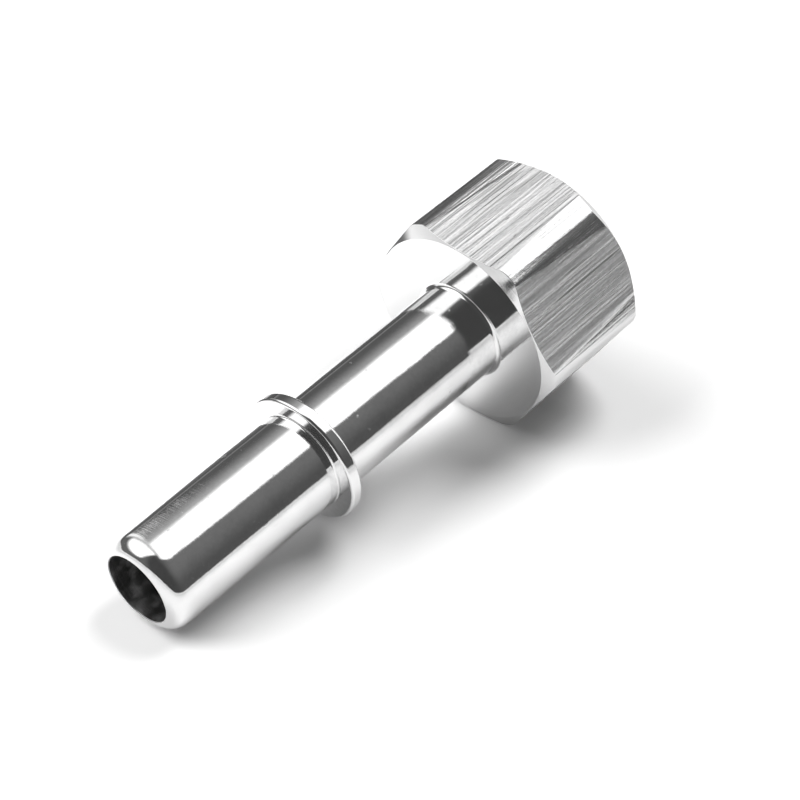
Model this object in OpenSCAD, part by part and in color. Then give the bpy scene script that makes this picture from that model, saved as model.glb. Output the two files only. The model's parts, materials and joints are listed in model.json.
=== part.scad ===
// Quick connect fitting: a beaded tube end and a threaded port, turned from one
// piece of hexagon bar. Millimetres, +Z up. The fitting lies as it comes to rest,
// on the underside of its nose and on the front edge of its lowest flat.
// The turned shape is drawn as a half section: radius along X, distance from the
// nose along Y.

/* [Tube end] */
// Outside diameter of the tube, in front of the bead and behind it
tube_d = 9.5; // [9:0.1:11]
// Length of the spigot, from the nose to the front of the bead
spigot_len = 19.7; // [12:0.1:24]
// Length of the tube between the bead and the hexagon
shank_len = 20.3; // [16:0.1:40]
// Radius of the nose's outside, which leads into a connector's seals
nose_round = 1.6; // [1:0.05:1.8]
// Rounding of the lip between the nose and the bore
lip_round = 0.15; // [0.1:0.05:0.3]
// Radius of the fillet where the tube runs into the hexagon
shank_fillet = 0.4; // [0.1:0.05:1]

/* [Bead] */
// Outside diameter of the bead
bead_d = 12.8; // [12.1:0.1:14]
// Width of the bead along the tube
bead_w = 1.3; // [0.9:0.1:3]
// Rounding of the bead's two rims
bead_round = 0.3; // [0.1:0.05:0.4]
// Radius of the fillets at the bead's foot
bead_fillet = 0.2; // [0.1:0.05:0.5]

/* [Hexagon] */
// Width across the flats
hex_af = 20; // [19.8:0.1:24]
// Length of the hexagon
hex_len = 13.6; // [12:0.1:30]
// Diameter of the turned face at the tube side
front_face_d = 19.7; // [15:0.1:20]
// Angle of the front chamfer, measured from that face
front_chamfer = 23; // [10:1:45]
// Diameter of the face at the port side
end_face_d = 19.7; // [17:0.1:20]
// Angle of the chamfer at the port side, measured from that face
end_chamfer = 45; // [10:1:60]

/* [Bore and port] */
// Diameter of the bore through the whole fitting
bore_d = 6.9; // [5:0.1:7.4]
// Diameter of the port at the root of its thread
port_d = 14.3; // [12:0.1:16]
// Depth of the port's straight wall, from the end face
port_depth = 10.8; // [6:0.1:11.5]
// Point angle of the drill that cut the port
drill_angle = 118; // [90:1:150]
// Chamfer at the mouth of the port
mouth_chamfer = 0.5; // [0.1:0.1:0.8]

/* [Hidden] */
$fn = 96;
tube_r = tube_d / 2;
bore_r = bore_d / 2;
bead_r = bead_d / 2;
port_r = port_d / 2;
bead_end = spigot_len + bead_w;
hex_front = bead_end + shank_len;
hex_end = hex_front + hex_len;
flat_r = hex_af / 2;
corner_r = flat_r / cos(30);
front_r = front_face_d / 2;
end_r = end_face_d / 2;
front_drop = (corner_r - front_r) * tan(front_chamfer);
end_drop = (corner_r - end_r) * tan(end_chamfer);
port_floor = hex_end - port_depth;
cone_len = (port_r - bore_r) / tan(drill_angle / 2);
// How far a cutter runs past the faces that it opens
over = 1;
// The lowest flat touches the ground where the front chamfer leaves it
flat_start = hex_front + (flat_r - front_r) * tan(front_chamfer);
// Centre of the lip's rounding: the bore cuts into it a little
lip_side = bore_r + 0.8 * lip_round;
// Centre of the nose's rounding, which holds the lip's from inside
nose_side = tube_r - nose_round;
nose_place = lip_round + sqrt(pow(nose_round - lip_round, 2) - pow(lip_side - nose_side, 2));
// The ground line passes the flat's start and touches the nose's rounding
run = flat_start - nose_place;
fall = flat_r - nose_side;
rest_tilt = atan2(fall, run) - asin(nose_round / norm([run, fall]));
ground = flat_r * cos(rest_tilt) - flat_start * sin(rest_tilt);
// Foremost and rearmost points of the tilted fitting, to centre it on the origin
foremost = lip_round * cos(rest_tilt) - lip_side * sin(rest_tilt) - lip_round;
rearmost = hex_end * cos(rest_tilt) + end_r * sin(rest_tilt);

// Half section of a bar of radius r between two places along the axis
module bar(r, from, to) {
    translate([0, from]) square([r, to - from]);
}

// Half section of the fillet between a bar of radius r and a face at this place;
// side is -1 where the bar lies in front of the face and 1 where it lies behind
module foot_fillet(r, place, side, fillet) {
    difference() {
        translate([r - fillet, min(place, place + side * fillet)]) square([2 * fillet, fillet]);
        translate([r + fillet, place + side * fillet]) circle(fillet);
    }
}

// Half section of the nose: its large rounding outside the line between the two
// centres, the lip's rounding, and the wall inside that line
module nose_section() {
    intersection() {
        translate([nose_side, nose_place]) circle(nose_round);
        polygon([
            [nose_side, nose_place],
            [nose_side + 2 * (lip_side - nose_side), nose_place + 2 * (lip_round - nose_place)],
            [tube_r + over, lip_round - nose_place],
            [tube_r + over, nose_place]
        ]);
    }
    translate([lip_side, lip_round]) circle(lip_round);
    polygon([
        [0, lip_round],
        [lip_side, lip_round],
        [nose_side, nose_place],
        [nose_side, nose_place + over],
        [0, nose_place + over]
    ]);
}

// Half section of the tube behind the nose's rounding
module tube_section() {
    bar(tube_r, nose_place, hex_front + over);
    nose_section();
    foot_fillet(tube_r, hex_front, -1, shank_fillet);
}

// Half section of the bead with rounded rims and a fillet at each foot
module bead_section() {
    rim_r = bead_r - bead_round;
    bar(rim_r, spigot_len, bead_end);
    bar(bead_r, spigot_len + bead_round, bead_end - bead_round);
    translate([rim_r, spigot_len + bead_round]) circle(bead_round);
    translate([rim_r, bead_end - bead_round]) circle(bead_round);
    foot_fillet(tube_r, spigot_len, -1, bead_fillet);
    foot_fillet(tube_r, bead_end, 1, bead_fillet);
}

// Hexagon bar with both ends turned to a chamfer, which leaves an arc on each flat
module hexagon() {
    intersection() {
        translate([0, 0, hex_front]) rotate(30) cylinder(r = corner_r, h = hex_len, $fn = 6);
        rotate_extrude() polygon([
            [0, hex_front],
            [front_r, hex_front],
            [corner_r, hex_front + front_drop],
            [corner_r, hex_end - end_drop],
            [end_r, hex_end],
            [0, hex_end]
        ]);
    }
}

// Bore through the fitting
module bore_cut() {
    translate([0, 0, -over]) cylinder(r = bore_r, h = hex_end + 2 * over);
}

// Port with the drill's cone at its floor and a chamfered mouth
module port_cut() {
    rotate_extrude() polygon([
        [0, port_floor - cone_len],
        [bore_r, port_floor - cone_len],
        [port_r, port_floor],
        [port_r, hex_end - mouth_chamfer],
        [port_r + mouth_chamfer + over, hex_end + over],
        [0, hex_end + over]
    ]);
}

// The whole fitting, along its own axis with the nose at the origin
module turned_body() {
    difference() {
        union() {
            rotate_extrude() {
                tube_section();
                bead_section();
            }
            hexagon();
        }
        bore_cut();
        port_cut();
    }
}

module fitting_body() {
    color("gainsboro")
    translate([-(foremost + rearmost) / 2, 0, ground])
    rotate([0, -rest_tilt, 0])
    rotate([0, 90, 0])
    turned_body();
}

fitting_body();
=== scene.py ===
"""Looks of a one-piece metal quick connect fitting: tube end, bead, hexagon and threaded port.

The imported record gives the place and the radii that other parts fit. One closed turned surface
stands for the solid, with the small roundings and the worked faces of the real one, and a thread
lies in the port.
"""

import json
import math

import bpy
import numpy as np
from mathutils import Matrix, Vector


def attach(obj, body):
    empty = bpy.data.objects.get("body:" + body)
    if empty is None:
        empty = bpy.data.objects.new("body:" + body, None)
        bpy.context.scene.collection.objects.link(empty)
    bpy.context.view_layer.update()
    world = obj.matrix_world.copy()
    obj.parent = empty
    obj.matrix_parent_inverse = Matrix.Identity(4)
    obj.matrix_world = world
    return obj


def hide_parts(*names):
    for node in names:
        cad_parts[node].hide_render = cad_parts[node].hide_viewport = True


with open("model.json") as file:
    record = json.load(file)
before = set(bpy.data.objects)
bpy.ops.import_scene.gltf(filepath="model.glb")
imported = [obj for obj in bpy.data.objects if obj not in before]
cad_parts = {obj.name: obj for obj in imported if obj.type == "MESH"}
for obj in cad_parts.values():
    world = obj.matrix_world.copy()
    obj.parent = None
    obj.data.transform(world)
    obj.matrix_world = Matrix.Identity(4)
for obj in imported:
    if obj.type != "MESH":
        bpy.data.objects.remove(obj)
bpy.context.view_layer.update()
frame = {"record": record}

# Radii in millimetres, from the mounts that other parts fit
mounts = {mount["name"]: mount for mount in frame["record"]["mounts"]}
TUBE_R = mounts["spigot"]["dims"]["r_mm"]
BORE_R = mounts["flow_bore"]["dims"]["r_mm"]
PORT_R = mounts["port"]["dims"]["r_mm"]

# Tube end and bead in millimetres, with places measured along the axis from the nose
NOSE_ROUND = 1.6
NOSE_END = 1.538  # where the nose's rounding meets the tube
NOSE_EASE = 0.55  # share of the nose's rounding over which its curvature dies away
LIP_SLOPE = math.radians(18)  # slope of the nose's face from the bore to its rounding
SPIGOT_START = 1.6  # where the spigot of the record starts
BEAD_R = 6.4
BEAD_START = 19.7
BEAD_WIDTH = 1.3
BEAD_END = BEAD_START + BEAD_WIDTH

# Hexagon
SHANK_LENGTH = 20.3  # tube between the bead and the hexagon
HEX_LENGTH = 13.6
HEX_START = BEAD_END + SHANK_LENGTH
HEX_END = HEX_START + HEX_LENGTH
HEX_FLAT_R = 10.0
HEX_SIDES = 6
HEX_SECTOR = math.radians(60)
HEX_EDGE_ROUND = 0.12  # rounding of the bar's six edges
DISC_R = 9.85  # radius of the turned faces at both ends
FRONT_CHAMFER = math.radians(23)
END_CHAMFER = math.radians(45)

# Flats of the hexagon
FLAT_DISH = 0.05  # depth of the shallow dish in each
FLAT_ROLL_FRONT = 1.3  # width over which a flat rolls off to the bar's edges, at the front
FLAT_ROLL_REAR = 2.2  # the same at the rear
FLAT_ROLL_SLOPE = 0.2  # slope at the end of the roll-off
FLAT_REACH = 0.75  # angle about the axis, from its middle, up to which a flat is worked out

# Port and the drill's cone at its floor
PORT_DEPTH = 10.8
PORT_FLOOR = HEX_END - PORT_DEPTH
MOUTH_CHAMFER = 0.5
DRILL_CONE = 2.223

# Thread in the port
THREAD_CREST_R = 6.45
THREAD_PITCH = 1.411
THREAD_FOOT = 0.45  # half width of the foot, as a share of the pitch
THREAD_CREST = 0.16  # half width of the crest, as a share of the pitch
THREAD_SUNK = 0.03  # depth of the foot in the wall
THREAD_GAP = 1.9  # gap over the port's floor
THREAD_PAST = 0.3  # how far the helix runs past the start of the mouth's chamfer
THREAD_GROWTH = 1 / 3  # turns over which the ridge grows at each end
THREAD_THIN = 0.25  # share of its full width that it has before it grows
THREAD_SQUEEZE = 0.3  # share of its run past the chamfer's start that is kept
THREAD_DIP = 0.05  # length over which it dips under the wall before the chamfer

# The bore's mouth lies a little off the axis: how far in Y and Z, and where that fades away
MOUTH_DRIFT = (0.33, 0.0)
DRIFT_FADE_R = (3.6, 4.5)
DRIFT_FADE_X = (2.0, 12.0)

# Fineness of the meshes
POINTS_PER_FLAT = 48
THREAD_STEPS = 96  # steps of the thread in a turn
EASE_STEPS = 20  # steps of the eased nose between two rows of points
SMALL_ANGLE = 1e-5  # step that gives the outline's change round the axis

# The nose's middle and the axis come from the spigot, which starts behind the nose's rounding
outward = Vector(mounts["spigot"]["axis"]).normalized()
to_nose = (mounts["spigot"]["dims"]["length_mm"] / 2 + SPIGOT_START) / 1000
nose = Vector(mounts["spigot"]["pos_m"]) + outward * to_nose
axis = -outward
tilt = math.atan2(axis.z, axis.x)


def turned_in_row(x, y, z):
    """Directions of the fitting's own frame, turned about Y by the tilt."""
    return np.stack([x * axis.x - z * axis.z, y, x * axis.z + z * axis.x], -1)


def in_row(x, y, z):
    """Points of the fitting's own frame in millimetres, moved to the row's frame in metres.

    The frame turns about Y by the tilt and then moves to the nose.
    """
    return turned_in_row(x, y, z) / 1000 + np.array(nose)


def mesh_piece(name, points, faces, finishes, finish_of_face=None, normals=None, smooth=True):
    """A mesh object at the origin from whole arrays of points and quads."""
    mesh = bpy.data.meshes.new(name)
    mesh.from_pydata(points.reshape(-1, 3), [], faces.reshape(-1, 4))
    for finish in finishes:
        mesh.materials.append(finish)
    if finish_of_face is not None:
        mesh.polygons.foreach_set("material_index", finish_of_face.astype(np.int32).ravel())
    mesh.polygons.foreach_set("use_smooth", np.full(len(mesh.polygons), smooth))
    if normals is not None:
        mesh.normals_split_custom_set_from_vertices(normals.reshape(-1, 3))
    mesh.update()
    piece = bpy.data.objects.new(name, mesh)
    bpy.context.scene.collection.objects.link(piece)
    return piece


def grid_quads(rows, columns, closed=False):
    """Quads between rows of points. Each row is a ring, and closed joins the last row to the first."""
    i = np.arange(rows if closed else rows - 1)[:, None]
    j = np.arange(columns)[None, :]
    ahead = (i + 1) % rows
    beside = (j + 1) % columns
    corners = [i * columns + j, i * columns + beside, ahead * columns + beside, ahead * columns + j]
    return np.stack(corners, -1)


# Shader maths
class Wire:
    """A socket that can be added to, taken from and multiplied with numbers and other sockets."""

    def __init__(self, finish, socket):
        self.finish = finish
        self.socket = socket

    def __add__(self, other):
        return self.finish.math("ADD", self, other)

    def __radd__(self, other):
        return self.finish.math("ADD", other, self)

    def __sub__(self, other):
        return self.finish.math("SUBTRACT", self, other)

    def __rsub__(self, other):
        return self.finish.math("SUBTRACT", other, self)

    def __mul__(self, other):
        return self.finish.math("MULTIPLY", self, other)

    def __rmul__(self, other):
        return self.finish.math("MULTIPLY", other, self)


class Finish:
    """The nodes of a material or a world, its owner. The methods add nodes and give back wires."""

    def __init__(self, owner):
        self.owner = owner
        owner.use_nodes = True
        self.tree = owner.node_tree
        self.tree.nodes.clear()

    def node(self, kind, settings=None, sockets=None, out=0):
        """Adds a node, sets its settings, then its sockets, and gives the wire of one output."""
        made = self.tree.nodes.new(kind)
        for key, value in (settings or {}).items():
            setattr(made, key, value)
        for key, value in (sockets or {}).items():
            self._plug(self._socket(made.inputs, key), value)
        if len(made.outputs):
            return Wire(self, self._socket(made.outputs, out))

    def _socket(self, sockets, key):
        if isinstance(key, int):
            return sockets[key]
        for socket in sockets:
            if socket.identifier == key:
                return socket
        return sockets[key]

    def _plug(self, socket, value):
        if isinstance(value, Wire):
            self.tree.links.new(value.socket, socket)
        else:
            socket.default_value = value

    def math(self, operation, *values):
        return self.node("ShaderNodeMath", {"operation": operation}, dict(enumerate(values)))

    def limit(self, value):
        """The value held between 0 and 1."""
        return self.node("ShaderNodeClamp", None, {"Value": value, "Min": 0.0, "Max": 1.0})

    def step(self, value, start, end, low, high):
        """The low level below start, the high level above end and a smooth step in between."""
        settings = {"interpolation_type": "SMOOTHSTEP"}
        sockets = {"Value": value, "From Min": start, "From Max": end, "To Min": low, "To Max": high}
        return self.node("ShaderNodeMapRange", settings, sockets)

    def rise(self, value, start, end):
        """0 below start and 1 above end."""
        return self.step(value, start, end, 0.0, 1.0)

    def fall(self, value, start, end):
        """1 below start and 0 above end."""
        return self.step(value, start, end, 1.0, 0.0)

    def mix(self, share, first, second):
        """A colour between two, by a share from 0 to 1."""
        sockets = {"Factor_Float": share, "A_Color": first, "B_Color": second}
        return self.node("ShaderNodeMix", {"data_type": "RGBA"}, sockets, out="Result_Color")

    def vector(self, x, y, z):
        return self.node("ShaderNodeCombineXYZ", None, {0: x, 1: y, 2: z})

    def parts(self, vector):
        """The X, Y and Z of a vector."""
        return [self.node("ShaderNodeSeparateXYZ", None, {0: vector}, out=i) for i in range(3)]

    def dot(self, vector, weights):
        """The weighted sum of a vector's X, Y and Z."""
        settings = {"operation": "DOT_PRODUCT"}
        return self.node("ShaderNodeVectorMath", settings, {0: vector, 1: weights}, out="Value")

    def noise(self, place, scale=1.0, detail=2.0, roughness=0.5, w=None):
        """Smooth noise from 0 to 1 about 0.5, one cell for each unit of place over scale."""
        settings = {"noise_dimensions": "3D" if w is None else "4D"}
        sockets = {"Vector": place, "Scale": scale, "Detail": detail, "Roughness": roughness}
        if w is not None:
            sockets["W"] = w
        return self.node("ShaderNodeTexNoise", settings, sockets, out="Fac")

    def ray(self, kind):
        """What the Light Path node says of the ray, such as whether the camera sent it."""
        return self.node("ShaderNodeLightPath", None, None, out=kind)

    def own_place(self):
        """The place in the object's own coordinates, in metres."""
        return self.node("ShaderNodeTexCoord", None, None, out="Object")

    def on_fitting(self):
        """The place in the fitting's own frame in millimetres, and its parts: along and across."""
        sockets = {
            "Vector": self.own_place(),
            "Location": tuple(nose),
            "Rotation": (0.0, -tilt, 0.0),
            "Scale": (0.001, 0.001, 0.001),
        }
        place = self.node("ShaderNodeMapping", {"vector_type": "TEXTURE"}, sockets)
        return place, *self.parts(place)

    def rings(self, x, y, z, fineness, change):
        """Circles about the axis, that many in a millimetre, which change slowly on their way round."""
        r = self.math("SQRT", y * y + z * z)
        place = self.vector(x * fineness, y * change, z * change)
        return self.noise(place, w=r * fineness, detail=3.0, roughness=0.7)

    def metal(self, colour, roughness, height, strength, metallic=1.0):
        """Bare metal with a colour, a roughness and a fine relief."""
        relief = {"Height": height, "Strength": strength, "Distance": RELIEF_REACH}
        sockets = {
            "Base Color": colour,
            "Roughness": roughness,
            "Metallic": metallic,
            "Normal": self.node("ShaderNodeBump", None, relief),
        }
        return self.surface(self.node("ShaderNodeBsdfPrincipled", None, sockets))

    def glow(self, colour):
        """A surface that shows its colour whatever the light."""
        return self.node("ShaderNodeEmission", None, {"Color": colour, "Strength": 1.0})

    def surface(self, shader):
        """Gives the shader to the material's surface and gives back the material."""
        self.node("ShaderNodeOutputMaterial", None, {"Surface": shader})
        return self.owner


def grey(level):
    return (level, level, level, 1.0)


# Camera of the photograph, fitted to the tube, the bead and the hexagon: its place in millimetres
# and its directions in the fitting's frame, its lens, and the nearest and furthest that it sees
CAMERA_PLACE = (-76.214, -103.82, 155.81)
CAMERA_AIM = (0.498795, 0.474717, -0.725159)
CAMERA_RIGHT = (0.668595, -0.74315, -0.026603)
FOCAL_LENGTH = 106.54
SENSOR_WIDTH = 36.0
CLIP = (0.01, 20.0)

lens = bpy.data.cameras.new("camera")
lens.lens = FOCAL_LENGTH
lens.sensor_width = SENSOR_WIDTH
lens.clip_start, lens.clip_end = CLIP
camera = bpy.data.objects.new("camera", lens)
bpy.context.scene.collection.objects.link(camera)
back = -Vector(turned_in_row(*CAMERA_AIM)).normalized()
up = back.cross(Vector(turned_in_row(*CAMERA_RIGHT))).normalized()
right = up.cross(back)
turn = Matrix((right, up, back)).transposed().to_4x4()
camera.matrix_world = Matrix.Translation(Vector(in_row(*CAMERA_PLACE))) @ turn
bpy.context.scene.camera = camera
bpy.context.scene.view_settings.view_transform = "Standard"


# The fitting's surface
POLISHED, FACED, DRAWN, BORED = range(4)

# Corners of the outline, from the bore's lip outwards and round to the drill's cone: name, rounding
# in mm, rows on the rounding, rows on the run that follows, and that run's finish
CORNERS = (
    ("nose inner edge", 0.13, 8, 0, POLISHED),
    ("nose outer edge", NOSE_ROUND, 24, 8, POLISHED),
    ("foot of the bead", 0.20, 6, 1, POLISHED),
    ("bead front edge", 0.30, 8, 1, POLISHED),
    ("bead back edge", 0.30, 8, 1, POLISHED),
    ("bead back foot", 0.20, 6, 8, POLISHED),
    ("foot of the hexagon", 0.40, 8, 3, FACED),
    ("disc rim", 0.08, 4, 3, FACED),
    ("hexagon front edge", 0.06, 4, 8, DRAWN),
    ("hexagon back edge", 0.08, 4, 3, FACED),
    ("end face rim", 0.10, 5, 3, FACED),
    ("mouth outer edge", 0.05, 3, 1, BORED),
    ("mouth inner edge", 0.05, 3, 6, BORED),
    ("port floor edge", 0.10, 4, 3, BORED),
    ("end of the drill cone", 0.05, 3, 16, BORED),
)
NOSE = [corner[0] for corner in CORNERS].index("nose outer edge")


def hexagon_radius(angle, roll):
    """Radius of the hexagon at an angle about its axis, with the width over which flats roll off.

    Each flat is the line height / cos(angle from the flat's middle). Its height is a shallow dish
    of depth * (1 - square of the place across). Near its two edges the flat rolls off as half its
    slope times the squared distance past the roll's start. The six lines meet in a soft minimum,
    which rounds the edges.
    """
    ridge = HEX_FLAT_R * math.tan(HEX_SECTOR / 2) - roll
    radii = []
    for side in range(HEX_SIDES):
        middle = math.radians(90) + side * HEX_SECTOR
        off = np.mod(angle - middle + math.pi, 2 * math.pi) - math.pi
        off = np.clip(off, -FLAT_REACH, FLAT_REACH)
        across = HEX_FLAT_R * np.tan(off)
        past = np.maximum(np.abs(across) - ridge, 0)
        dish = FLAT_DISH * np.maximum(1 - (across / ridge) ** 2, 0)
        drop = dish + 0.5 * FLAT_ROLL_SLOPE * past ** 2 / roll
        radii.append((HEX_FLAT_R - drop) / np.cos(off))
    radii = np.array(radii)
    soft = HEX_EDGE_ROUND / 2
    low = radii.min(0)
    return low - soft * np.log(np.exp(-(radii - low) / soft).sum(0))


def outline_corners(angle):
    """The corners at each angle, in the order of CORNERS: distance from the nose and radius."""
    one = np.ones_like(angle)
    front_rim = hexagon_radius(angle, FLAT_ROLL_FRONT)
    rear_rim = hexagon_radius(angle, FLAT_ROLL_REAR)
    front = HEX_START + (front_rim - DISC_R) * math.tan(FRONT_CHAMFER)
    rear = HEX_END - (rear_rim - DISC_R) * math.tan(END_CHAMFER)
    bend = (math.pi / 2 - LIP_SLOPE) / 2
    shoulder = NOSE_END - NOSE_ROUND * math.tan(bend)
    lip = shoulder - (TUBE_R - BORE_R) * math.tan(LIP_SLOPE)
    rows = (
        (lip * one, BORE_R * one),
        (shoulder * one, TUBE_R * one),
        (BEAD_START * one, TUBE_R * one),
        (BEAD_START * one, BEAD_R * one),
        (BEAD_END * one, BEAD_R * one),
        (BEAD_END * one, TUBE_R * one),
        (HEX_START * one, TUBE_R * one),
        (HEX_START * one, DISC_R * one),
        (front, front_rim),
        (rear, rear_rim),
        (HEX_END * one, DISC_R * one),
        (HEX_END * one, (PORT_R + MOUTH_CHAMFER) * one),
        ((HEX_END - MOUTH_CHAMFER) * one, PORT_R * one),
        (PORT_FLOOR * one, PORT_R * one),
        ((PORT_FLOOR - DRILL_CONE) * one, BORE_R * one),
    )
    return np.array(rows).transpose(0, 2, 1)


def eased_arc(corner, before, side, bend):
    """The nose's rounding, whose curvature is even at first and dies away towards the tube.

    The heading turns by the running sum of the curvature, and the place is the running sum of
    the heading. With the curve's end at (u, v) for a length of 1, the length is the circle's
    distance from the corner over u - v / tan(bend), so it starts where the circle would. The
    bend is the same at every angle about the axis.
    """
    steps = EASE_STEPS * (CORNERS[NOSE][2] - 1) + 1
    whole = bend[0, 0]
    curvature = np.clip((1 - np.linspace(0, 1, steps)) / NOSE_EASE, 0, 1)
    turned = np.concatenate([[0], np.cumsum(curvature[1:] + curvature[:-1])])
    turned = turned / turned[-1] * whole
    heading = np.stack([np.cos(turned), np.sin(turned)], -1)
    place = np.concatenate([[[0, 0]], np.cumsum(heading[1:] + heading[:-1], 0)])
    place = place / (2 * steps - 2)
    u, v = place[-1]
    reach = NOSE_ROUND * math.tan(abs(whole) / 2)
    length = reach / (u - v / math.tan(whole))
    place = length * place[::EASE_STEPS, :, None, None]
    heading = heading[::EASE_STEPS, :, None, None]
    places = corner - before * reach + place[:, 0] * before + place[:, 1] * side
    return places, heading[:, 0] * before + heading[:, 1] * side


def outline(angle):
    """Rows of the rounded outline at each angle: places, directions and the finish of each row.

    An arc of the corner's rounding touches both runs at rounding * tan(half the turn) from the
    corner. Straight rows share out the run to the next arc.
    """
    corner = outline_corners(angle)
    before = corner - np.roll(corner, 1, 0)
    after = np.roll(corner, -1, 0) - corner
    before /= np.linalg.norm(before, axis=-1, keepdims=True)
    after /= np.linalg.norm(after, axis=-1, keepdims=True)
    side = np.stack([-before[..., 1], before[..., 0]], -1)
    bend = np.arctan2((side * after).sum(-1), (before * after).sum(-1))[..., None]
    arcs = []
    for k, (_, rounding, steps, _, _) in enumerate(CORNERS):
        share = np.linspace(0, 1, steps)[:, None, None]
        part = share * bend[k]
        sign = np.sign(bend[k])
        start = corner[k] - before[k] * rounding * np.tan(np.abs(bend[k]) / 2)
        along = rounding * np.sin(np.abs(part)) * before[k]
        aside = rounding * (1 - np.cos(part)) * sign * side[k]
        heading = np.cos(part) * before[k] + np.sin(part) * side[k]
        arcs.append((start + along + aside, heading))
    arcs[NOSE] = eased_arc(corner[NOSE], before[NOSE], side[NOSE], bend[NOSE])
    places, headings, finishes = [], [], []
    for k, (_, _, steps, runs, finish) in enumerate(CORNERS):
        place, heading = arcs[k]
        ahead = arcs[(k + 1) % len(arcs)][0][0]
        share = (np.arange(1, runs + 1) / (runs + 1))[:, None, None]
        straight = place[-1] + share * (ahead - place[-1])
        places += [place, straight]
        headings += [heading, np.broadcast_to(after[k], straight.shape)]
        last = CORNERS[k - 1][4]
        half = steps // 2
        finishes += [last] * half + [finish] * (steps - half + runs)
    return np.concatenate(places), np.concatenate(headings), np.array(finishes)


def fade(value, start, end):
    """1 below start and 0 above end, 1 - 3 t squared + 2 t cubed between, and its slope."""
    t = np.clip((value - start) / (end - start), 0, 1)
    return 1 - t * t * (3 - 2 * t), -6 * t * (1 - t) / (end - start)


def drift_mouth(points, normals):
    """Moves the bore's mouth off the axis.

    A point moves by the drift times w, the product of two fades over radius and distance from
    the nose. A normal n turns to n - grad w * (drift . n) / (1 + grad w . drift).
    """
    x, y, z = np.moveaxis(points, -1, 0)
    r = np.hypot(y, z)
    by_r, slope_r = fade(r, *DRIFT_FADE_R)
    by_x, slope_x = fade(x, *DRIFT_FADE_X)
    drift = np.array([0.0, *MOUTH_DRIFT])
    w = by_r * by_x
    gradient = np.stack([by_r * slope_x, slope_r * by_x * y / r, slope_r * by_x * z / r], -1)
    lean = (normals @ drift) / (1 + gradient @ drift)
    normals = normals - gradient * lean[..., None]
    normals /= np.linalg.norm(normals, axis=-1, keepdims=True)
    return points + w[..., None] * drift, normals


def turned_surface():
    """Points, quads, finishes and outward normals of the whole fitting.

    The angles crowd towards the hexagon's edges as 1 - (1 - u) squared. The outward normal is
    the cross product of the step round the axis and the step along the outline.
    """
    u = np.linspace(-1, 1, POINTS_PER_FLAT + 1)[:-1]
    within = HEX_SECTOR / 2 * np.sign(u) * (1 - (1 - np.abs(u)) ** 2)
    middle = math.radians(90) + HEX_SECTOR * np.arange(HEX_SIDES)[:, None]
    angle = (middle + within).ravel()
    places, headings, finishes = outline(angle)
    beyond, _, _ = outline(angle + SMALL_ANGLE)
    short, _, _ = outline(angle - SMALL_ANGLE)
    slope = (beyond - short) / (2 * SMALL_ANGLE)
    x, r = places[..., 0], places[..., 1]
    dx, dr = headings[..., 0], headings[..., 1]
    along = -dr * r
    away = dx * r
    round_axis = dr * slope[..., 0] - dx * slope[..., 1]
    size = np.sqrt(along ** 2 + away ** 2 + round_axis ** 2)
    along, away, round_axis = along / size, away / size, round_axis / size
    c, s = np.cos(angle), np.sin(angle)
    points = np.stack([x, r * c, r * s], -1)
    normals = np.stack([along, away * c - round_axis * s, away * s + round_axis * c], -1)
    points, normals = drift_mouth(points, normals)
    points = in_row(*np.moveaxis(points, -1, 0))
    normals = turned_in_row(*np.moveaxis(normals, -1, 0))
    rows, columns = x.shape
    finish_of_face = np.broadcast_to(finishes[:, None], (rows, columns))
    return points, grid_quads(rows, columns, closed=True), finish_of_face, normals


def thread_ridge():
    """The port's thread: a ridge of four corners carried along a right-handed helix.

    The ridge stands on the port's wall. Its height grows from nothing at each end, and the
    mouth's chamfer, carried on inwards at 45 degrees, cuts it.
    """
    mouth = HEX_END - MOUTH_CHAMFER
    start = PORT_FLOOR + THREAD_GAP
    end = mouth + THREAD_PAST
    turns = (end - start) / THREAD_PITCH
    count = int(turns * THREAD_STEPS)
    share = np.linspace(0, 1, count)
    angle = 2 * math.pi * turns * share
    growth = np.clip(np.minimum(share, 1 - share) * turns / THREAD_GROWTH, 0, 1)[:, None]
    growth = growth * growth * (3 - 2 * growth)
    height = PORT_R - THREAD_CREST_R
    across = THREAD_PITCH * np.array([-THREAD_FOOT, -THREAD_CREST, THREAD_CREST, THREAD_FOOT])
    width = THREAD_THIN + (1 - THREAD_THIN) * growth
    x = start + (end - start) * share[:, None] + across * width
    level = np.array([-THREAD_SUNK, height, height, -THREAD_SUNK])
    r = PORT_R - level * np.where(level > 0, growth, 1)
    x = np.where(x > mouth, mouth + THREAD_SQUEEZE * (x - mouth), x)
    sunk = THREAD_SUNK * np.clip(1 + (x - mouth) / THREAD_DIP, 0, 1)
    r = np.maximum(r, PORT_R + x - mouth + sunk)
    c, s = np.cos(angle)[:, None], np.sin(angle)[:, None]
    # The quads start at their second corner, which is where each is split
    quads = np.roll(grid_quads(count, 4), -1, -1).reshape(-1, 4)
    last = (count - 1) * 4
    ends = [[3, 2, 1, 0], [last, last + 1, last + 2, last + 3]]
    return in_row(x, r * c, r * s), np.concatenate([quads, ends])


# Finishes
RELIEF_REACH = 0.0001  # metres by which a height of 1 stands out
BURNISH_AND_SHEEN_FROM = (4.4, 4.8)  # mm from a flat's middle line at which its burnish and its painted sheen begin
BURNISH_AND_SHEEN_SPREAD = 0.08  # how much nearer that is for each mm behind the hexagon's front
BURNISH_AND_SHEEN_WANDER = 1.2  # how far in mm the border wanders


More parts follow.
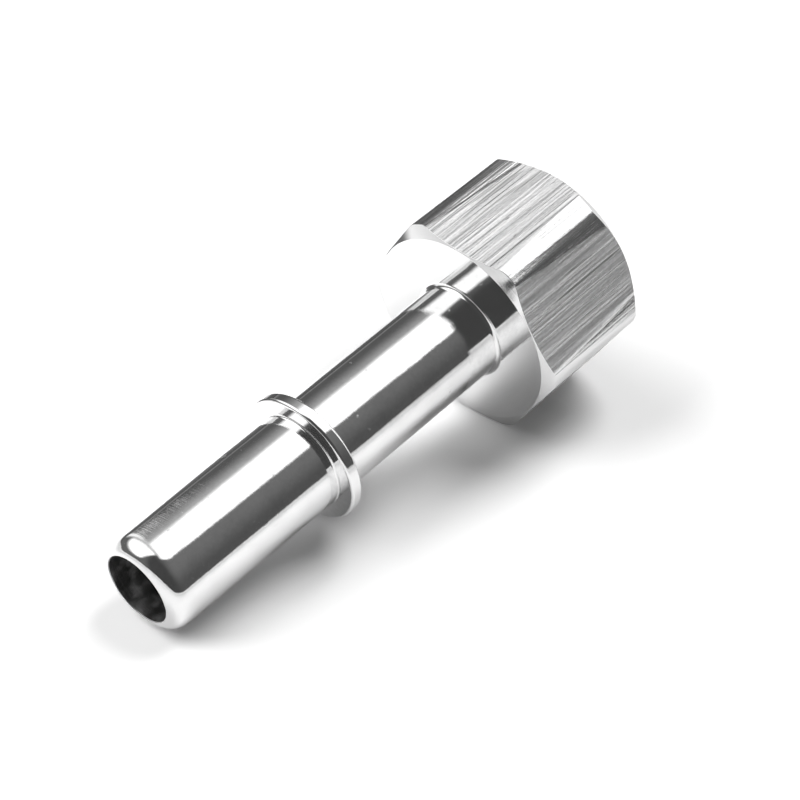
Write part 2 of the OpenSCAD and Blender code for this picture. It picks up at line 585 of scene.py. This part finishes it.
def polished_finish():
    """Turned and polished steel of the tube: faint rings, a slight wave, tarnish and a few pits."""
    f = Finish(bpy.data.materials.new("turned_polished"))
    place, x, y, z = f.on_fitting()
    rings = f.rings(x, y, z, 9.0, 0.05)
    wave = f.noise(place, scale=0.22, detail=1.0)
    specks = f.noise(place, scale=2.6, detail=2.0)
    pits = f.rise(f.noise(place, scale=1.7, detail=0.0), 0.81, 0.85)
    height = rings * 0.25 + wave * 2.5 + specks * 0.2 + pits * 0.3
    tarnish = f.rise(f.noise(place, scale=0.5, detail=4.0, roughness=0.65), 0.35, 0.75)
    colour = f.mix(f.limit(0.6 * tarnish + 0.8 * (specks - 0.3)), grey(0.94), grey(0.8))
    return f.metal(colour, 0.05 + 0.05 * tarnish + 0.2 * pits, height, 0.12)


def faced_finish():
    """Faced steel of the disc and the chamfers: fine circles about the axis."""
    f = Finish(bpy.data.materials.new("faced"))
    place, x, y, z = f.on_fitting()
    rings = f.rings(x, y, z, 7.0, 0.05)
    wave = f.noise(place, scale=0.3, detail=1.0)
    colour = f.mix(f.limit(rings), grey(0.9), grey(0.84))
    return f.metal(colour, 0.03 + 0.05 * rings, rings * 0.2 + wave * 1.5, 0.1)


def drawn_finish():
    """Flats of drawn hexagon bar: long fine lines along it, wider streaks, scores and nicks.

    Towards the bar's edges each flat has a burnish, which makes it smoother, and a painted
    sheen, which makes its colour lighter. The distance from a flat's middle line is the root of r
    squared minus the square of the distance along that flat's normal.
    """
    f = Finish(bpy.data.materials.new("drawn_flats"))
    _, x, y, z = f.on_fitting()
    fine = f.noise(f.vector(x * 0.04, y * 4.0, z * 4.0), detail=3.0, roughness=0.7)
    streak = f.noise(f.vector(x * 0.025 + 7.0, y * 1.1, z * 1.1), detail=2.0, roughness=0.6)
    scores = f.noise(f.vector(x * 0.07, y * 3.1, z * 3.1 + 5.0), detail=1.0)
    chips = f.noise(f.vector(x * 0.6, y * 2.6 + 3.0, z * 2.6), detail=1.0)
    grain = f.noise(f.vector(x * 2.4, y * 4.0, z * 4.0), detail=2.0)
    wide, tall = f.math("ABSOLUTE", y), f.math("ABSOLUTE", z)
    sloped = wide * math.cos(HEX_SECTOR / 2) + tall * math.sin(HEX_SECTOR / 2)
    facing = f.math("MAXIMUM", tall, sloped)
    across = f.math("SQRT", f.math("MAXIMUM", y * y + z * z - facing * facing, 0.0))
    border = across + BURNISH_AND_SHEEN_SPREAD * (x - HEX_START) + BURNISH_AND_SHEEN_WANDER * (streak - 0.5)
    # Burnish and painted sheen towards the bar's edges
    burnish_and_sheen = f.rise(border, *BURNISH_AND_SHEEN_FROM)
    lines = f.rise(fine * 0.4 + streak * 0.35 + grain * 0.25, 0.4, 0.6)
    # Painted sheen: the colour turns lighter towards the bar's edges
    lines = f.limit(lines + 0.5 * burnish_and_sheen)
    nicks = f.limit(f.fall(scores, 0.3, 0.4) + f.fall(chips, 0.2, 0.26))
    dark = nicks * (1.0 - 0.7 * burnish_and_sheen)
    relief = fine * 0.8 + streak * 3.2 + grain * 0.5 - dark * 0.4
    height = relief * (1.0 - 0.5 * burnish_and_sheen)
    colour = f.mix(dark, f.mix(lines, grey(0.75), grey(0.93)), grey(0.5))
    return f.metal(colour, 0.35 + 0.1 * fine - 0.25 * burnish_and_sheen, height, 0.6)


def bored_finish():
    """Bored steel inside: duller and darker, with tool marks round the axis and lighter patches at
    random.
    """
    f = Finish(bpy.data.materials.new("bored"))
    place, x, y, z = f.on_fitting()
    rings = f.rings(x, y, z, 4.0, 0.1)
    blotch = f.noise(place, scale=0.55, detail=3.0, roughness=0.6)
    # Lighter patches at random, a little rougher and less metallic
    pale = f.rise(blotch, 0.4, 0.74)
    colour = f.mix(pale, grey(0.43), grey(0.6))
    return f.metal(colour, 0.28 + 0.14 * pale, rings * 0.8 + blotch * 0.5, 0.4, 1.0 - 0.2 * pale)


points, quads, finish_of_face, normals = turned_surface()
finishes = [polished_finish(), faced_finish(), drawn_finish(), bored_finish()]
body = mesh_piece("turned_fitting", points, quads, finishes, finish_of_face, normals)
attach(body, "root")
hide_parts("fitting_body")

points, quads = thread_ridge()
thread = mesh_piece("port_thread", points, quads, [finishes[BORED]], smooth=False)
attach(thread, "root")


# Studio: floor, lamps and the surfaces that the polished metal mirrors, in metres
FLOOR_HALF = 3.0
DOME_R = 2.5
DOME_STEPS = 40  # rings of points from the horizon to the top
DOME_TURN = 5  # degrees between the points of a ring
LAMP_AWAY = 2.0

# Levels of the floor
FLOOR_SEEN = 1.58  # to the camera
FLOOR_MIRRORED = 0.85  # in the metal
FLOOR_NEAR = 0.45  # added to that near the fitting
FLOOR_PLAIN = 0.93  # to every other ray
NEAR_OUT = (0.012, 0.09)  # distance from the origin over which the near level goes out
WHITE_FROM = (0.15, 0.5)  # distance over which the floor turns into plain white
WHITE_SOONER = (0.05, 0.3)  # how much sooner it does so in the metal

# In the metal only: the dark behind the fitting
BEHIND_FROM = (0.021, 0.027)  # Y over which it comes in
BEHIND_FURTHER = 0.012  # how much further back that is beside the hexagon
BEHIND_END = (-0.004, 0.006)  # X over which it comes in
BEHIND_LEAN = 0.25  # how much that end leans with Y
BEHIND_DARK = 0.86  # how much light it takes away

# In the metal only: the far floor, the brighter floor on the tube's far side and a painted shade on
# the floor by the hexagon's foot
FAR_LEVEL = 0.86
FAR_DULL = 0.36  # how much duller the far floor gets towards high X
FAR_DULL_FROM = (0.03, 0.16)  # X over which it does so
HEXAGON_FROM = (0.005, 0.013)  # X over which the floor beside the hexagon begins
FAR_SIDE_IN = (0.005, 0.012)  # Y over which the far side comes in
FAR_SIDE_END = (0.012, 0.018)  # X over which it goes out
FAR_SIDE_OUT = (0.02, 0.06)  # distance over which it goes out
FAR_SIDE_MORE = 0.4
FOOT_IN = (-0.009, -0.005)  # Y over which the painted shade comes in
FOOT_OUT = (-0.002, 0.0)  # Y over which it goes out
FOOT_SHADE_LESS = 0.25

# Patches that the camera sees too: where each comes in and goes out along X, its middle in Y and
# where it goes out from there. One is light thrown off the hexagon's face, two are contact shade
THROWN = ((-0.004, 0.015), (0.0135, 0.0155), 0.0015, (0.001, 0.005))
THROWN_MORE = 0.8
UNDER_HEXAGON = ((0.012, 0.017), (0.02, 0.027), 0.0, (0.007, 0.0125))
UNDER_HEXAGON_LESS = 0.45
UNDER_TUBE = ((-0.028, -0.023), (-0.006, 0.0), -0.002, (0.001, 0.006))
UNDER_TUBE_LESS = 0.2


def stage_piece(name, points, faces, finish):
    """A piece of the studio, which isn't part of the object."""
    piece = mesh_piece(name, points, faces, [finish])
    return piece


def floor_patch(f, x, y, begin, end, middle, spread):
    """1 on a patch of the floor and 0 off it, with soft borders."""
    from_middle = f.math("ABSOLUTE", y - middle)
    return f.rise(x, *begin) * f.fall(x, *end) * f.fall(from_middle, *spread)


def floor_finish():
    """Pale matt floor, white to the camera, which fades into plain white away from the fitting.

    In the metal it is white about the fitting and a little duller far away, and it ends in the
    dark behind the fitting, as in the photograph. The metal shows it black to rays that came from
    the floor, so no light goes by way of the metal, and a brighter patch stands for what the
    hexagon would throw. Two darker patches deepen the shade of its contact and of the tube's.
    """
    f = Finish(bpy.data.materials.new("floor"))
    place = f.own_place()
    x, y, _ = f.parts(place)
    away = f.node("ShaderNodeVectorMath", {"operation": "LENGTH"}, {0: place}, out="Value")
    seen = f.ray("Is Camera Ray")
    mirrored = f.ray("Is Glossy Ray")
    by_hexagon = f.rise(x, *HEXAGON_FROM)
    behind = f.rise(y - BEHIND_FURTHER * by_hexagon, *BEHIND_FROM)
    behind = behind * f.rise(x + BEHIND_LEAN * y, *BEHIND_END)
    dim = (1.0 - BEHIND_DARK * behind) * (1.0 - f.limit(f.ray("Diffuse Depth")))
    far_side = f.rise(y, *FAR_SIDE_IN) * f.fall(x, *FAR_SIDE_END) * f.fall(away, *FAR_SIDE_OUT)
    # Painted shade on the floor by the hexagon's foot, seen only in the metal
    foot = f.rise(y, *FOOT_IN) * f.fall(y, *FOOT_OUT) * by_hexagon
    in_metal = FLOOR_MIRRORED + FLOOR_NEAR * f.fall(away, *NEAR_OUT) + FAR_SIDE_MORE * far_side
    in_metal = in_metal * dim * (1.0 - FOOT_SHADE_LESS * foot)
    pale = FLOOR_PLAIN + (FLOOR_SEEN - FLOOR_PLAIN) * seen + (in_metal - FLOOR_PLAIN) * mirrored
    thrown = floor_patch(f, x, y, *THROWN) * f.limit(seen + mirrored)
    under_hexagon = floor_patch(f, x, y, *UNDER_HEXAGON)
    under_tube = floor_patch(f, x, y, *UNDER_TUBE)
    shade = 1.0 - UNDER_HEXAGON_LESS * under_hexagon - UNDER_TUBE_LESS * under_tube
    pale = pale * (1.0 + THROWN_MORE * thrown) * shade
    far_level = (FAR_LEVEL - FAR_DULL * f.rise(x, *FAR_DULL_FROM)) * dim
    far = f.mix(mirrored, grey(1.0), f.vector(far_level, far_level, far_level))
    white_start = WHITE_FROM[0] - WHITE_SOONER[0] * mirrored
    white_end = WHITE_FROM[1] - WHITE_SOONER[1] * mirrored
    matt = f.node("ShaderNodeBsdfDiffuse", None, {"Color": f.vector(pale, pale, pale)})
    faded = f.rise(away, white_start, white_end)
    return f.surface(f.node("ShaderNodeMixShader", None, {0: faded, 1: matt, 2: f.glow(far)}))


corners = FLOOR_HALF * np.array([[-1, -1, 0], [1, -1, 0], [1, 1, 0], [-1, 1, 0]])
stage_piece("floor", corners, np.array([[0, 1, 2, 3]]), floor_finish())


# Edges of what the metal mirrors, each a plane through the middle, as weights of X, Y and Z: the
# near edges of the right and the left softbox, the seam between them, and the card's side and top
RIGHT_EDGE = (0.517, 0.841, 0.157)
LEFT_EDGE = (0.4, 0.9, 0.0)
SEAM = (1.0, -0.25, 0.0)
CARD_SIDE = (1.0, -0.374, 0.0)
CARD_TOP = (-0.189, 0.873, -0.451)
BOX_LEVEL = 1.35


def dome_finish():
    """What the metal mirrors above the floor: two large softboxes in a dim room.

    With d the direction from the middle, each edge is a plane through the middle, so a weighted
    sum of d crosses 0 there. The right softbox ends at its near edge, at the seam and at the
    dark card behind it. The left one ends at its own near edge, at the seam, above the horizon
    and towards the low end of X.
    """
    f = Finish(bpy.data.materials.new("studio_dome"))
    way = f.node("ShaderNodeVectorMath", {"operation": "NORMALIZE"}, {0: f.own_place()}, out="Vector")
    x, y, z = f.parts(way)
    seam = f.dot(way, SEAM)
    card = f.rise(f.dot(way, CARD_SIDE), -0.02, 0.03) * f.rise(f.dot(way, CARD_TOP), -0.08, 0.11)
    right_box = f.rise(f.dot(way, RIGHT_EDGE), -0.02, 0.02) * f.rise(seam, -0.04, 0.14) * (1.0 - card)
    left_box = f.rise(f.dot(way, LEFT_EDGE), -0.03, 0.09) * f.fall(seam, -0.09, 0.04)
    left_box = left_box * f.rise(z, 0.22, 0.42) * f.rise(x, -0.85, -0.74)
    height = f.math("MAXIMUM", z - 0.25, 0.0)
    card_level = 0.1 + 1.3 * height * height + 0.12 * f.fall(z, 0.03, 0.12)
    near_level = f.mix(f.rise(z, 0.2, 0.85), grey(0.085), grey(0.165))
    dim = f.mix(f.rise(x, -0.3, 0.3), grey(0.06), near_level)
    dim = f.mix(f.rise(y, 0.0, 0.3), dim, grey(0.13))
    dim = f.mix(card, dim, card_level)
    level = f.mix(f.limit(right_box + left_box), dim, grey(BOX_LEVEL))
    level = f.mix(f.limit(f.ray("Diffuse Depth")), level, grey(0.0))
    return f.surface(f.glow(level))


def studio_dome():
    """A dome over the floor, from just under the horizon to the top, seen only in the metal."""
    elevation = np.radians(np.linspace(-1, 90, DOME_STEPS))[:, None]
    azimuth = np.radians(np.arange(0, 360, DOME_TURN))[None, :]
    level, rise = np.cos(elevation), np.sin(elevation) + 0 * azimuth
    points = DOME_R * np.stack([level * np.cos(azimuth), level * np.sin(azimuth), rise], -1)
    quads = grid_quads(DOME_STEPS, azimuth.size)
    dome = stage_piece("studio_dome", points, quads, dome_finish())
    dome.visible_camera = False
    dome.visible_diffuse = False
    dome.visible_shadow = False
    dome.visible_transmission = False
    dome.visible_volume_scatter = False


def softbox(name, azimuth, elevation, radius, share):
    """A round area lamp at a direction and with an angular radius, in degrees.

    The metal doesn't mirror it. A lamp of power P at a distance d lights the floor at the origin
    by P * sin(elevation) / (pi * d squared), and a white floor shows that over pi.
    """
    turn, rise = math.radians(azimuth), math.radians(elevation)
    aim = Vector((math.cos(rise) * math.cos(turn), math.cos(rise) * math.sin(turn), math.sin(rise)))
    light = bpy.data.lights.new(name, "AREA")
    light.shape = "DISK"
    light.size = 2 * LAMP_AWAY * math.tan(math.radians(radius))
    light.energy = share * math.pi ** 2 * LAMP_AWAY ** 2 / aim.z
    lamp = bpy.data.objects.new(name, light)
    bpy.context.scene.collection.objects.link(lamp)
    lamp.location = aim * LAMP_AWAY
    lamp.rotation_euler = aim.to_track_quat("Z", "Y").to_euler()
    lamp.visible_glossy = False
    lamp.visible_camera = False


def studio_world():
    """White for the camera and for what the metal mirrors, and nearly dark for the rest."""
    world = bpy.data.worlds.new("studio")
    bpy.context.scene.world = world
    f = Finish(world)
    shown = f.limit(f.ray("Is Camera Ray") + f.ray("Is Glossy Ray") + f.ray("Is Transmission Ray"))
    colour = f.mix(shown, grey(0.01), grey(1.0))
    background = f.node("ShaderNodeBackground", None, {"Color": colour, "Strength": 1.0})
    f.node("ShaderNodeOutputWorld", None, {"Surface": background})


studio_dome()
studio_world()

# Lamps: azimuth from X, elevation, angular radius and share of the open floor's light
softbox("right_softbox", 352, 59, 18, 0.384)
softbox("front_softbox", 218, 18, 16, 0.139)
softbox("back_softbox", 127, 38, 26, 0.477)
